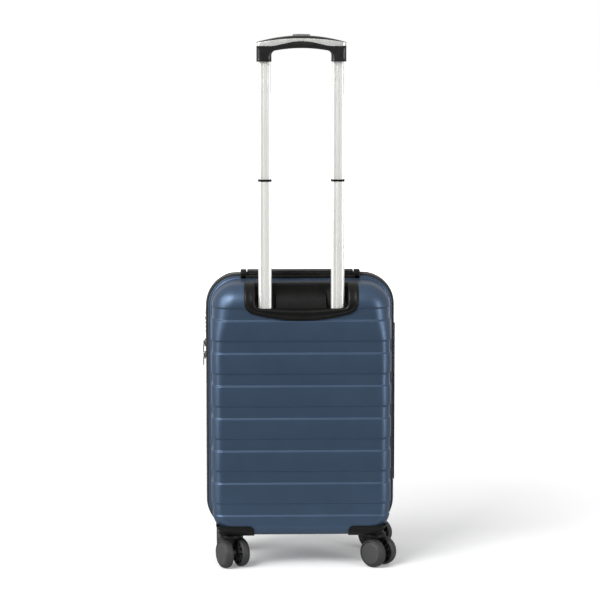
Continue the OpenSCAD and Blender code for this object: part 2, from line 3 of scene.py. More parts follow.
import bmesh
import bpy
import numpy as np
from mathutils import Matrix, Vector


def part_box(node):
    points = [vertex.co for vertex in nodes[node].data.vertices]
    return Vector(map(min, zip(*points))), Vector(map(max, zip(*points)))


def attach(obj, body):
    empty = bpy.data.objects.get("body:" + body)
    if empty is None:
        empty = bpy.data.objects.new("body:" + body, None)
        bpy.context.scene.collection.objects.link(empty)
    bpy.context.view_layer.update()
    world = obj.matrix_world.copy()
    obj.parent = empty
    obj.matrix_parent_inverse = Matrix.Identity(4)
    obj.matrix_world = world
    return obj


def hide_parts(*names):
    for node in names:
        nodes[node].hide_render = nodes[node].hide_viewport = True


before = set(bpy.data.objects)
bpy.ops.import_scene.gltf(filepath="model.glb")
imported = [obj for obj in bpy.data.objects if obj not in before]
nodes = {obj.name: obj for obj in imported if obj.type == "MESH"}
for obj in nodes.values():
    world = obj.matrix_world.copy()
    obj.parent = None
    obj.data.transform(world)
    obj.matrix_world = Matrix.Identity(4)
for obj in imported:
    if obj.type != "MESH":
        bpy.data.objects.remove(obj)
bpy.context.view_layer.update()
MM = 0.001
QUARTER = math.pi / 2
CASTERS = ("rl", "rr", "fl", "fr")


def box(node):
    """Lowest and highest corner of a CAD node, in millimetres."""
    low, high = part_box(node)
    return np.array(low) / MM, np.array(high) / MM


def settle(obj, body, node=None):
    """Puts a piece on its body; it may stand in for a CAD node, which is then hidden."""
    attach(obj, body)
    if node:
        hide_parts(node)


# ---------------- mesh helpers
def smoothstep(x):
    x = np.clip(x, 0.0, 1.0)
    return x * x * (3 - 2 * x)


def new_mesh(name, verts, faces, material, smooth=True, merge=0.0, recalc=False):
    """An object from millimetre points; merge welds points closer than that."""
    mesh = bpy.data.meshes.new(name)
    points = [tuple(p) for p in np.asarray(verts, float) * MM]
    mesh.from_pydata(points, [], [tuple(int(i) for i in f) for f in faces])
    if merge or recalc:
        bm = bmesh.new()
        bm.from_mesh(mesh)
        if merge:
            bmesh.ops.remove_doubles(bm, verts=bm.verts, dist=merge * MM)
        if recalc:
            bmesh.ops.recalc_face_normals(bm, faces=bm.faces)
        bm.to_mesh(mesh)
        bm.free()
    mesh.validate()
    for p in mesh.polygons:
        p.use_smooth = smooth
    if material is not None:
        mesh.materials.append(material)
    obj = bpy.data.objects.new(name, mesh)
    bpy.context.scene.collection.objects.link(obj)
    return obj


def grid_faces(rows, cols, base, close_rows, close_cols):
    faces = []
    for i in range(rows if close_rows else rows - 1):
        for j in range(cols if close_cols else cols - 1):
            near, far = base + i * cols, base + ((i + 1) % rows) * cols
            nxt = (j + 1) % cols
            faces.append((near + j, near + nxt, far + nxt, far + j))
    return faces


class Build:
    """Collects several patches into one mesh."""

    def __init__(self):
        self.v, self.f = [], []

    def grid(self, points, close_rows=False, close_cols=True):
        points = np.asarray(points, float)
        rows, cols = points.shape[:2]
        self.f += grid_faces(rows, cols, len(self.v), close_rows, close_cols)
        self.v += [tuple(p) for p in points.reshape(-1, 3)]

    def fan(self, ring, flip=False):
        """Closes a ring of points with one flat face."""
        order = range(len(self.v), len(self.v) + len(ring))
        self.v += [tuple(p) for p in ring]
        self.f.append(tuple(reversed(order)) if flip else tuple(order))

    def tube(self, rings):
        """Rings joined one to the next, with a flat face at either end."""
        self.grid(rings)
        self.fan(rings[0])
        self.fan(rings[-1], flip=True)

    def make(self, name, material, **kw):
        return new_mesh(name, self.v, self.f, material, recalc=True, **kw)


def at_depth(ring, y):
    """A ring of (x, z) points at depth y."""
    return np.stack([ring[:, 0], np.full(len(ring), y), ring[:, 1]], 1)


def at_height(ring, z):
    """A ring of (x, y) points at height z."""
    return np.stack([ring[:, 0], ring[:, 1], np.full(len(ring), z)], 1)


def fillet_path(corners, step=1.2):
    """Points along a closed polygon whose corners (x, y, radius) are rounded."""
    out = []
    n = len(corners)
    for i in range(n):
        x, y, r = corners[i]
        p = np.array([x, y], float)
        if r <= 0:
            out.append(p)
            continue
        a = np.array(corners[i - 1][:2], float) - p
        b = np.array(corners[(i + 1) % n][:2], float) - p
        a /= np.linalg.norm(a)
        b /= np.linalg.norm(b)
        half = math.acos(max(-1.0, min(1.0, float(a @ b)))) / 2
        back = r / math.tan(half)
        centre = p + (a + b) / np.linalg.norm(a + b) * r / math.sin(half)
        s, e = p + a * back - centre, p + b * back - centre
        a0, a1 = math.atan2(s[1], s[0]), math.atan2(e[1], e[0])
        turn = (a1 - a0 + math.pi) % (2 * math.pi) - math.pi
        k = max(3, int(abs(turn) * r / step) + 1)
        for t in np.linspace(0, 1, k):
            out.append(centre + r * np.array([math.cos(a0 + turn * t), math.sin(a0 + turn * t)]))
    return np.array(out)


def ring_normals(path):
    """Outward normals of a closed counter-clockwise path."""
    d = np.roll(path, -1, 0) - np.roll(path, 1, 0)
    n = np.stack([d[:, 1], -d[:, 0]], 1)
    return n / np.maximum(np.linalg.norm(n, axis=1, keepdims=True), 1e-9)


def rounded_prism(name, path, low, high, r, material, axes, steps):
    """A plate with outline path between two levels, its edges rounded by r.
    axes says which axes the path's two and the level are, such as xzy."""
    area = np.sum(path[:, 0] * np.roll(path[:, 1], -1) - np.roll(path[:, 0], -1) * path[:, 1])
    if area < 0:
        path = path[::-1]
    n = ring_normals(path)
    loops = []
    for level, sign in ((low, 1), (high, -1)):
        part = []
        for k in range(steps + 1):
            a = math.pi / 2 * k / steps
            ring = path - n * r * (1 - math.sin(a))
            part.append((ring, level + sign * r * (1 - math.cos(a))))
        loops += part if sign > 0 else part[::-1]
    order = ["xyz".index(c) for c in axes]
    pts = []
    for ring, level in loops:
        p = np.zeros((len(ring), 3))
        p[:, order[0]], p[:, order[1]], p[:, order[2]] = ring[:, 0], ring[:, 1], level
        pts.append(p)
    b = Build()
    b.tube(np.array(pts))
    return b.make(name, material, merge=0.001)


def boxed(name, lo, hi, r, material, axes, corner):
    """A box between two corners; its edges along the last axis are rounded by corner."""
    lo, hi = np.array(lo, float), np.array(hi, float)
    i, j, k = ["xyz".index(c) for c in axes]
    path = fillet_path([(lo[i], lo[j], corner), (hi[i], lo[j], corner),
                        (hi[i], hi[j], corner), (lo[i], hi[j], corner)], step=0.5)
    r = min(r, (hi[k] - lo[k]) / 2 - 0.01)
    return rounded_prism(name, path, lo[k], hi[k], r, material, axes, 4)


def lathe(profile, centre, axis, name, material, n=96):
    """profile (radius, along) spun about an axis through centre."""
    axis = Vector(axis).normalized()
    u = Vector((0, 0, 1)).cross(axis).normalized()
    w = axis.cross(u)
    a = np.linspace(0, 2 * math.pi, n, endpoint=False)
    ring = np.cos(a)[:, None] * np.array(u) + np.sin(a)[:, None] * np.array(w)
    along = profile[:, None, 1:2] * np.array(axis)
    b = Build()
    b.grid(np.array(centre) + profile[:, None, 0:1] * ring[None] + along)
    return b.make(name, material, merge=0.002)


def smooth_by_angle(obj, degrees):
    for p in obj.data.polygons:
        p.use_smooth = True
    split = obj.modifiers.new("split", "EDGE_SPLIT")
    split.split_angle = math.radians(degrees)
    split.use_edge_sharp = False


def soften(obj, width, segments):
    """Rounds the sharp edges of a CAD node or of a copy of one."""
    weld = obj.modifiers.new("weld", "WELD")
    weld.merge_threshold = 0.00001
    bevel = obj.modifiers.new("bevel", "BEVEL")
    bevel.width = width * MM
    bevel.segments = segments
    bevel.limit_method = "ANGLE"
    bevel.angle_limit = math.radians(32)
    smooth_by_angle(obj, 40)


# ---------------- materials
def add_node(tree, kind, inputs=None, **settings):
    """A shader node; inputs says what each socket holds: a value, or another node's output."""
    node = tree.nodes.new("ShaderNode" + kind)
    for key, value in settings.items():
        setattr(node, key, value)
    for socket, value in (inputs or {}).items():
        if isinstance(value, bpy.types.NodeSocket):
            tree.links.new(value, node.inputs[socket])
        else:
            node.inputs[socket].default_value = value
    return node


def maths(tree, op, a, b):
    return add_node(tree, "Math", {0: a, 1: b}, operation=op).outputs[0]


def ranged(tree, value, low, high, from_low=0.3, from_high=0.7, **settings):
    return add_node(tree, "MapRange", {"Value": value, "From Min": from_low, "From Max": from_high,
                                       "To Min": low, "To Max": high}, **settings).outputs[0]


def mixed(tree, fac, a, b):
    """Colour a turning into colour b as fac goes from 0 to 1."""
    a, b = (v if isinstance(v, bpy.types.NodeSocket) else (*v, 1.0) for v in (a, b))
    return add_node(tree, "Mix", {0: fac, 6: a, 7: b}, data_type="RGBA").outputs[2]


def material(name, base, rough, metal=0.0, vary=0.12, blotch=14.0, grain=900.0, bump=0.08,
             rough_vary=0.08, wear=0.0, wear_color=None, coat=0.0, sheen=0.0, ior=1.5,
             weave=0.0, specks=0.0):
    """A procedural finish: blotchy colour, grain in colour and relief, and worn edges.
    weave is the scale of cloth's threads, and specks that of a moulded pebble grain."""
    mat = bpy.data.materials.new(name)
    mat.use_nodes = True
    tree = mat.node_tree
    tree.nodes.clear()
    shader = add_node(tree, "BsdfPrincipled", {
        "Metallic": metal, "IOR": ior, "Coat Weight": coat, "Coat Roughness": 0.12,
        "Sheen Weight": sheen})
    add_node(tree, "OutputMaterial", {"Surface": shader.outputs[0]})
    coords = add_node(tree, "TexCoord").outputs["Object"]

    def noise(scale, detail=4.0, roughness=0.55):
        return add_node(tree, "TexNoise", {"Vector": coords, "Scale": scale, "Detail": detail,
                                           "Roughness": roughness}).outputs["Fac"]

    dark = tuple(c * (1 - vary) for c in base)
    light = tuple(min(1.0, c * (1 + vary)) for c in base)
    color = mixed(tree, ranged(tree, noise(blotch), 0.0, 1.0), dark, light)
    pores = ranged(tree, noise(grain, 2.0), 0.0, 1.0, 0.35, 0.65)
    color = mixed(tree, maths(tree, "MULTIPLY", pores, 0.35), color,
                  tuple(c * (1 - 1.6 * vary) for c in base))
    rough_value = ranged(tree, noise(blotch * 4.3), max(0.02, rough - rough_vary),
                         rough + rough_vary)
    height = noise(grain, 3.0, 0.6)
    if weave:
        threads = [add_node(tree, "TexWave", {"Vector": coords, "Scale": weave, "Distortion": 0.6,
                                              "Detail": 1.0}, wave_type="BANDS",
                            bands_direction=way).outputs["Fac"] for way in ("X", "Z")]
        cloth = maths(tree, "MULTIPLY", *threads)
        height = maths(tree, "ADD", maths(tree, "MULTIPLY", height, 0.4), cloth)
        color = mixed(tree, maths(tree, "MULTIPLY", cloth, 0.5), color,
                      tuple(min(1, c * 1.8) for c in base))
    if specks:
        dots = add_node(tree, "TexVoronoi", {"Vector": coords, "Scale": specks})
        height = maths(tree, "ADD", height,
                       maths(tree, "MULTIPLY", dots.outputs["Distance"], 0.8))
    if wear:
        ridges = add_node(tree, "NewGeometry").outputs["Pointiness"]
        edge = maths(tree, "MULTIPLY", ranged(tree, ridges, 0.0, 1.0, 0.52, 0.60),
                     ranged(tree, noise(60.0), 0.0, wear, 0.4, 0.75))
        color = mixed(tree, edge, color,
                      wear_color or tuple(min(1, c * 2.5 + 0.02) for c in base))
        rough_value = maths(tree, "ADD", rough_value, maths(tree, "MULTIPLY", edge, 0.25))
    relief = add_node(tree, "Bump", {"Strength": bump, "Distance": 0.0006, "Height": height})
    for socket, value in (("Base Color", color), ("Roughness", rough_value),
                          ("Normal", relief.outputs[0])):
        tree.links.new(value, shader.inputs[socket])
    return mat


BLUE = material("shell blue", (0.052, 0.086, 0.143), 0.41, metal=0.62, vary=0.05, blotch=7,
                grain=1500, bump=0.04, rough_vary=0.03, wear=0.15, wear_color=(0.14, 0.2, 0.29),
                coat=0.03)
INNER = material("shell inside", (0.03, 0.045, 0.075), 0.5, vary=0.1, grain=800, bump=0.15)
BLACK = material("black satin", (0.0045, 0.0045, 0.0042), 0.38, ior=1.3, vary=0.15, blotch=20,
                 grain=1400, bump=0.16, rough_vary=0.05, wear=0.35,
                 wear_color=(0.05, 0.05, 0.049))
GRIP = material("grip black", (0.012, 0.012, 0.012), 0.27, blotch=24, grain=1100,
                rough_vary=0.05, wear=0.3, wear_color=(0.07, 0.07, 0.07))
PEBBLE = material("pebbled black", (0.02, 0.02, 0.02), 0.5, vary=0.2, bump=0.4, specks=900.0,
                  wear=0.4)
TAPE = material("zipper tape", (0.016, 0.016, 0.018), 0.85, vary=0.25, blotch=30, grain=700,
                bump=0.5, sheen=0.25, weave=520.0)
COIL = material("zipper coil", (0.035, 0.033, 0.031), 0.4, vary=0.2, grain=600, bump=0.2)
ALU = material("anodised aluminium", (0.82, 0.82, 0.79), 0.32, metal=0.48, vary=0.02, blotch=9,
               bump=0.003, rough_vary=0.03, wear=0.02, wear_color=(0.7, 0.7, 0.7))
SILVER = material("silver trim", (0.76, 0.76, 0.74), 0.28, metal=0.55, vary=0.05, grain=700,
                  bump=0.01, wear=0.05, wear_color=(0.3, 0.3, 0.3))
STEEL = material("steel", (0.45, 0.45, 0.44), 0.32, metal=1.0, vary=0.1, bump=0.1, wear=0.3,
                 wear_color=(0.7, 0.7, 0.7))
GUNMETAL = material("dark metal", (0.16, 0.16, 0.165), 0.36, metal=0.9, vary=0.15, grain=700,
                    bump=0.12, wear=0.6, wear_color=(0.5, 0.5, 0.5))
GREY = material("grey plastic", (0.17, 0.17, 0.17), 0.42, vary=0.1, bump=0.14, wear=0.3)
TREAD = material("wheel tread", (0.022, 0.022, 0.0225), 0.62, vary=0.18, blotch=40, grain=700,
                 bump=0.3, rough_vary=0.1, wear=0.5, wear_color=(0.14, 0.14, 0.14))
DISC = material("wheel disc", (0.034, 0.034, 0.035), 0.5, vary=0.1, blotch=50, bump=0.2,
                wear=0.4, wear_color=(0.16, 0.16, 0.16))
LINING = material("lining cloth", (0.10, 0.105, 0.115), 0.8, blotch=12, grain=500, bump=0.5,
                  sheen=0.3, weave=420.0)
WEBBING = material("webbing", (0.02, 0.02, 0.021), 0.75, vary=0.2, grain=500, bump=0.6,
                   sheen=0.2, weave=300.0)
FLOOR = material("studio floor", (0.93, 0.93, 0.93), 0.7, vary=0.005, blotch=2, grain=60,
                 bump=0.02)

# ---------------- main sizes
shell_lo, shell_hi = box("back_shell")
FLANGE_OUT, FLANGE_W = 5.5, 6.0  # the flange at the seam: how far it stands out, and its width
HALF_W = shell_hi[0] - FLANGE_OUT
DEPTH = -shell_lo[1]
Z_BOT, Z_TOP = shell_lo[2] + FLANGE_OUT, shell_hi[2] - FLANGE_OUT
Z_MID, HALF_H = (Z_BOT + Z_TOP) / 2, (Z_TOP - Z_BOT) / 2
TAPE_W = -shell_hi[1]  # the zipper band reaches this far from the seam
CORNER_R, SIDE_R, TOP_R, WALL = 50.0, 21.0, 37.0, 1.8
CHANNEL_N, CHANNEL_H, CHANNEL_D = 7, 23.0, 2.2
FIRST_CHANNEL = 51.2  # from the bottom to the middle of the lowest channel
CHANNEL_ENDS = 105.2  # below the middle of the lowest and above that of the highest, together
PITCH = (2 * HALF_H - CHANNEL_ENDS) / (CHANNEL_N - 1)
CHANNELS = [Z_BOT + FIRST_CHANNEL + PITCH * i for i in range(CHANNEL_N)]
EDGE = 1.9  # half width of the slope at a channel's edge
CHANNEL_GAP, END_SLOPE = 3.5, 5.0  # from the flange to a channel's end, and that end's slope
CROWN = 0.35  # how far the bands between the channels bulge
GROW_BELOW, GROW_OVER = 115, 78  # the edge's radius grows to TOP_R from this far below the top
SHOULDER, SHOULDER_BLEND = 150, 40  # the lid keeps its small radius beyond this half width

# the rays that find the shell's surface start on an inner box
CORE_X, CORE_D = HALF_W - 42.0, DEPTH - 38.0
CORE_Z = (Z_BOT + 35.5, Z_TOP - 41.0)
RAY, HALVINGS = 130, 34

# the handle's recess in the back shell
LIP_Z = Z_TOP - 43.5
RECESS_HALF, RECESS_DEEP = 86.0, 28.0
RECESS_BACK = -DEPTH + RECESS_DEEP
RECESS_CUT = LIP_Z - 6.4  # the shell is open above this level


# ---------------- shells
def shell_distance(x, d, z, side):
    """Signed distance to the outer face of a half shell; d is the distance from the seam plane."""
    grow = smoothstep((z - Z_TOP + GROW_BELOW) / GROW_OVER)
    if side > 0:
        grow = grow * smoothstep((SHOULDER - np.abs(x)) / SHOULDER_BLEND)
    r = SIDE_R + (TOP_R - SIDE_R) * grow
    qx = np.abs(x) - (HALF_W - CORNER_R)
    qz = np.abs(z - Z_MID) - (HALF_H - CORNER_R)
    corner = np.hypot(np.maximum(qx, 0), np.maximum(qz, 0))
    a = corner + np.minimum(np.maximum(qx, qz), 0) - CORNER_R + r
    b = d - DEPTH + r
    return np.hypot(np.maximum(a, 0), np.maximum(b, 0)) + np.minimum(np.maximum(a, b), 0) - r


def channel_depth(z, d):
    """How deep the surface is set in at height z, d millimetres from the seam."""
    deep = np.zeros_like(z)
    crown = np.zeros_like(z)
    ends = smoothstep((d - TAPE_W - FLANGE_W - CHANNEL_GAP) / END_SLOPE)
    for zc in CHANNELS:
        deep = np.maximum(deep, smoothstep((CHANNEL_H / 2 + EDGE - np.abs(z - zc)) / (2 * EDGE)))
    for zc in CHANNELS[:-1]:
        off = (z - zc - PITCH / 2) / ((PITCH - CHANNEL_H) / 2)
        crown = np.maximum(crown, np.clip(1 - off * off, 0, 1))
    return (CHANNEL_D * deep - CROWN * crown) * ends


def tilted(coords, low=True, n=13):
    """Grid lines: the flat part at tilt 0, then the turn into the next face up to 45 degrees."""
    lean = [math.tan(math.pi / 4 * k / n) for k in range(1, n + 1)]
    out = [(coords[0], -t) for t in reversed(lean)] if low else []
    return np.array(out + [(c, 0.0) for c in coords] + [(coords[-1], t) for t in lean])


def z_lines():
    """Heights of the grid lines, closer together at the edges of the channels."""
    zs = list(np.linspace(CORE_Z[0], CORE_Z[1], 70)) + [RECESS_CUT]
    for zc in CHANNELS:
        for s in (-1, 1):
            zs += list(zc + s * CHANNEL_H / 2 + np.linspace(-EDGE - 0.4, EDGE + 0.4, 11))
    zs = sorted(z for z in zs if CORE_Z[0] <= z <= CORE_Z[1])
    keep = [zs[0]]
    for z in zs[1:]:
        if z - keep[-1] > 0.25:
            keep.append(z)
    keep[-1] = CORE_Z[1]
    return keep


def shell_faces(inset, side):
    """The five faces of a half shell, inset from its outer surface: grids of (x, d, z)."""
    xs = set(np.linspace(-CORE_X, CORE_X, 27)) | {-RECESS_HALF - 3, RECESS_HALF + 3}
    xs = tilted(sorted(xs))
    zs = tilted(z_lines())
    ds = tilted([*np.linspace(TAPE_W + 1, 34, 15), *np.linspace(37, CORE_D, 9)], low=False)
    grids = []
    for u, v, face, s in ((xs, zs, "back", 1), (ds, zs, "side", -1), (ds, zs, "side", 1),
                          (xs, ds, "end", 1), (xs, ds, "end", -1)):
        i, j = np.meshgrid(np.arange(len(u)), np.arange(len(v)))
        uc, ut, vc, vt = u[i, 0], u[i, 1], v[j, 0], v[j, 1]
        one = np.ones_like(uc)
        if face == "back":
            core, way = (uc, one * CORE_D, vc), (ut, one, vt)
        elif face == "side":
            core, way = (one * s * CORE_X, uc, vc), (one * s, ut, vt)
        else:
            core, way = (uc, vc, one * (CORE_Z[1] if s > 0 else CORE_Z[0])), (ut, vt, one * s)
        core, way = np.stack(core, -1), np.stack(way, -1)
        way = way / np.linalg.norm(way, axis=-1, keepdims=True)
        low, high = np.zeros_like(uc), one * RAY
        for _ in range(HALVINGS):
            mid = (low + high) / 2
            p = core + way * mid[..., None]
            f = shell_distance(p[..., 0], p[..., 1], p[..., 2], side) + inset
            inside = f + channel_depth(p[..., 2], p[..., 1]) < 0
            low, high = np.where(inside, mid, low), np.where(inside, high, mid)
        grids.append(core + way * mid[..., None])
    return grids


def outline_ring(out, arc_points=30, side_points=14):
    """Points round the case outline, grown by out, counter-clockwise seen from the back."""
    w, h, r = HALF_W + out, HALF_H + out, CORNER_R + out
    centres = ((w - r, h - r), (-w + r, h - r), (-w + r, -h + r), (w - r, -h + r))
    pts = []
    for k, (cx, cz) in enumerate(centres):
        for a in np.linspace(0, 90, arc_points):
            t = math.radians(90 * k + a)
            pts.append((cx + r * math.cos(t), Z_MID + cz + r * math.sin(t)))
        nxt = centres[(k + 1) % 4]
        t = math.radians(90 * (k + 1))
        a = np.array([cx + r * math.cos(t), Z_MID + cz + r * math.sin(t)])
        b = np.array([nxt[0] + r * math.cos(t), Z_MID + nxt[1] + r * math.sin(t)])
        pts += [tuple(a + (b - a) * s) for s in np.linspace(0, 1, side_points)[1:-1]]
    return np.array(pts)


def outline_sweep(b, profile, side):
    """Sweeps a closed profile (out, d) round the case outline; side is -1 for the back half."""
    rings = [at_depth(outline_ring(out), side * d) for out, d in profile]
    b.grid(np.array(rings), close_rows=True)


def arc(cx, cy, r, a0, a1, n=6):
    turns = [math.radians(a) for a in np.linspace(a0, a1, n)]
    return [(cx + r * math.cos(t), cy + r * math.sin(t)) for t in turns]


def in_recess(x, d, z):
    return abs(x) < RECESS_HALF + 2.5 and z > RECESS_CUT and d > -RECESS_BACK - 3


def shell_skin(inset, side):
    """A half shell's skin, left open where the handle's recess is."""
    b = Build()
    for g in shell_faces(inset, side):
        pts = g.copy()
        pts[..., 1] *= side
        rows, cols = pts.shape[:2]
        base = len(b.v)
        b.v += [tuple(p) for p in pts.reshape(-1, 3)]
        mid = (g[:-1, :-1] + g[1:, :-1] + g[:-1, 1:] + g[1:, 1:]) / 4
        for i in range(rows - 1):
            for j in range(cols - 1):
                if side > 0 or not in_recess(*mid[i, j]):
                    k = base + i * cols + j
                    b.f.append((k, k + 1, k + cols + 1, k + cols))
    return b


def make_shell(name, side, body, node):
    outer = shell_skin(0.0, side)
    # the flange that stiffens the open edge, with a rolled rim
    d0, d1, inner = TAPE_W + FLANGE_W, TAPE_W, FLANGE_OUT - WALL
    rim = [(-WALL, d0 - 1), (-0.3, d0 + 2.2), (0.9, d0 + 0.9), (2.2, d0 + 0.35), (3.6, d0 + 0.1)]
    rim += arc(FLANGE_OUT - 1.3, d0 - 1.2, 1.3, 90, 0) + [(FLANGE_OUT - 0.15, (d0 + d1) / 2)]
    rim += arc(FLANGE_OUT - 0.8, d1 + 0.8, 0.8, 0, -90, 5)
    rim += [(inner, d1), (inner, d0 - WALL), (-WALL, d0 - WALL)]
    outline_sweep(outer, rim, side)
    skin = outer.make(name, BLUE, merge=0.01)
    inside = shell_skin(WALL, side).make(name + "_inside", INNER, merge=0.01)
    settle(skin, body, node)
    settle(inside, body)


make_shell("back_shell_skin", -1, "case", "back_shell")
make_shell("front_shell_skin", 1, "lid", "front_shell")

# ---------------- handle housing
LEG_LO, LEG_HI = box("middle_tube_right")
LEG_X, LEG_Y = (LEG_LO[0] + LEG_HI[0]) / 2, (LEG_LO[1] + LEG_HI[1]) / 2
LIP_MID = LIP_Z - 2.6  # the lip is lowest in the middle
APRON_Z, APRON_HALF = LIP_Z - 21.5, 106.0  # foot and half width of the rim round the recess
ARC_Z = Z_TOP - TOP_R  # the shell starts to turn over the top here
REACH_Y = 66.0  # over the top, the rim ends this far behind the seam
FLOOR_HALF, FLOOR_FRONT = 84.0, 109.0  # the flat part of the recess's floor
RAMP_HALF, RAMP_SIDE, RAMP_RISE = 50.5, 4.5, 37.0  # the scoop for the fingers
# (inwards from the rim's edge, above the shell)
RIM_OUT = ((0.0, 0.0), (0.1, 0.7), (0.7, 1.35), (1.8, 1.95), (3.2, 2.3), (4.6, 2.35), (5.4, 2.05))
RIM_FLAT, RIM_SAG = 1.85, 0.25
# (outwards from the recess's edge, above the shell)
RIM_IN = ((4.4, 1.9), (3.0, 1.75), (1.9, 1.3), (1.0, 0.6), (0.4, -0.4))
DRAFT = 0.9  # how far the recess's walls lean in by its back wall


def on_back(x, q, h):
    """Point h above the shell, q along the profile that climbs the back and turns over the top."""
    q1 = ARC_Z - APRON_Z
    q2 = q1 + TOP_R * math.pi / 2
    if q <= q1:
        return (x, -DEPTH - h, APRON_Z + q)
    if q <= q2:
        a, r = (q - q1) / TOP_R, TOP_R + h
        return (x, -DEPTH + TOP_R - r * math.cos(a), ARC_Z + r * math.sin(a))
    return (x, -DEPTH + TOP_R + (q - q2), Z_TOP + h)


def q_of_y(y):
    """Where along the profile the skin passes depth y, on the rounding."""
    return ARC_Z - APRON_Z + TOP_R * math.acos((-DEPTH + TOP_R - y) / TOP_R)


def hoop(half, base, foot_r, corner, top, top_r):
    """Closed loop in (x, q): curved foot, round lower corners, straight sides and top.
    It has the same number of points whatever its size."""
    cz = base + foot_r - math.sqrt((foot_r - corner) ** 2 - (half - corner) ** 2)
    lean = math.atan2(half - corner, base + foot_r - cz)
    pts = []
    for t in np.linspace(-lean, lean, 41):
        pts.append((foot_r * math.sin(t), base + foot_r - foot_r * math.cos(t)))
    for t in np.linspace(lean - QUARTER, 0, 15)[1:]:
        pts.append((half - corner + corner * math.cos(t), cz + corner * math.sin(t)))
    for z in np.linspace(cz, top - top_r, 26)[1:]:
        pts.append((half, z))
    for t in np.linspace(0, QUARTER, 9)[1:]:
        pts.append((half - top_r + top_r * math.cos(t), top - top_r + top_r * math.sin(t)))
    for x in np.linspace(half - top_r, -half + top_r, 31)[1:]:
        pts.append((x, top))
    for t in np.linspace(QUARTER, math.pi, 9)[1:]:
        pts.append((-half + top_r + top_r * math.cos(t), top - top_r + top_r * math.sin(t)))
    for z in np.linspace(top - top_r, cz, 26)[1:]:
        pts.append((-half, z))
    for t in np.linspace(math.pi, 3 * math.pi / 2 - lean, 15)[1:-1]:
        pts.append((-half + corner + corner * math.cos(t), cz + corner * math.sin(t)))
    return np.array(pts)


def rim_rings(outer, inner):
    """Rings over the raised rim, from its outer edge to the recess."""
    n_out, n_in = ring_normals(outer), ring_normals(inner)
    steps = [(outer - n_out * d, h) for d, h in RIM_OUT]
    a, b = outer - n_out * 6.4, inner + n_in * 5.6
    for t in np.linspace(0, 1, 7):
        steps.append((a + (b - a) * t, RIM_FLAT - RIM_SAG * math.sin(math.pi * t)))
    steps += [(inner + n_in * d, h) for d, h in RIM_IN]
    return [np.array([on_back(p[0], p[1], h) for p in ring]) for ring, h in steps]


def recess_rings(inner):
    """Rings down the walls of the recess, to a fillet at its back wall."""
    n = ring_normals(inner)
    lip = np.array([on_back(p[0], p[1], -0.8) for p in inner])
    deep = np.maximum(RECESS_BACK - lip[:, 1], 0.4)
    fillet = np.minimum(6.0, deep)
    steps = [(lip[:, 1] + (deep - fillet) * t, DRAFT * t * (deep / RECESS_DEEP))
             for t in np.linspace(0, 1, 9)]
    for t in np.linspace(0, QUARTER, 8)[1:]:
        steps.append((RECESS_BACK - fillet * (1 - math.sin(t)),
                      DRAFT * deep / RECESS_DEEP + fillet * (1 - math.cos(t))))
    rings = [np.stack([lip[:, 0] - n[:, 0] * off, y, lip[:, 2] - n[:, 1] * off], 1)
             for y, off in steps]
    # the floor is flat under the collars and the ends of the grip
    for ring in rings:
        under = (abs(ring[:, 0]) < FLOOR_HALF) & (ring[:, 2] < LIP_Z + 14)
        under &= ring[:, 1] > -FLOOR_FRONT
        ring[under, 2] = np.minimum(ring[under, 2], LIP_Z + 0.2)
    return rings


def ramp_rows():
    """The scooped ramp between the legs, for the fingers."""
    edge = np.linspace(RAMP_HALF - 5, RAMP_HALF, 12)
    xs = np.concatenate([-edge[::-1], np.linspace(-44, 44, 23), edge])
    side = smoothstep((RAMP_HALF - abs(xs)) / RAMP_SIDE)
    y0, y1, foot = -DEPTH + 1.6, RECESS_BACK + 0.1, LIP_MID - 1.0
    rows = []
    for t in np.linspace(0, QUARTER, 26):
        y, z = y0 + (y1 - y0) * math.sin(t), LIP_MID + 0.6 + RAMP_RISE * (1 - math.cos(t))
        rows.append([(x, y, foot + (z - LIP_MID + 1.0) * k) for x, k in zip(xs, side)])
    return rows


def make_housing():
    q_top = q_of_y(-DEPTH + TOP_R) + (DEPTH - TOP_R) - REACH_Y
    outer = hoop(APRON_HALF, 0.0, 339.0, 24.0, q_top, 5.0)
    inner = hoop(RECESS_HALF, LIP_MID - APRON_Z, 640.0, 8.0, q_of_y(RECESS_BACK), 4.0)
    rings = rim_rings(outer, inner) + recess_rings(inner)
    b = Build()
    b.grid(np.array(rings))
    b.fan(rings[-1])
    b.grid(ramp_rows(), close_cols=False)
    # frames round the tubes where they enter the floor
    for s in (-1, 1):
        path = fillet_path([(x + s * LEG_X, y + LEG_Y, 7.2) for x, y in
                            ((-15.2, -9.2), (15.2, -9.2), (15.2, 9.2), (-15.2, 9.2))])
        n = ring_normals(path)
        b.grid(np.array([at_height(path - n * d, z) for d, z in (
            (0.0, LIP_MID - 0.5), (0.0, LIP_Z - 0.1), (0.5, LIP_Z + 0.2), (2.3, LIP_Z + 0.2),
            (2.7, LIP_Z - 0.2), (2.7, LIP_Z - 6))]))
    settle(b.make("housing", BLACK, merge=0.002), "case", "handle_housing")


make_housing()

# ---------------- telescopic tubes
TUBE_WALL = 1.3
# two flutes on each flat face, between a middle rib and the margins
RIB, MARGIN, FLUTE_D, FLUTE_EDGE = 1.5, 5.2, 0.75, 0.8


def flute(x, half):
    """How deep a flat face is set in at x from its middle."""
    a, end = abs(x), half - MARGIN + 0.6
    if a < RIB or a > end:
        return 0.0
    return FLUTE_D * float(smoothstep(np.array(min(a - RIB, end - a) / FLUTE_EDGE)))


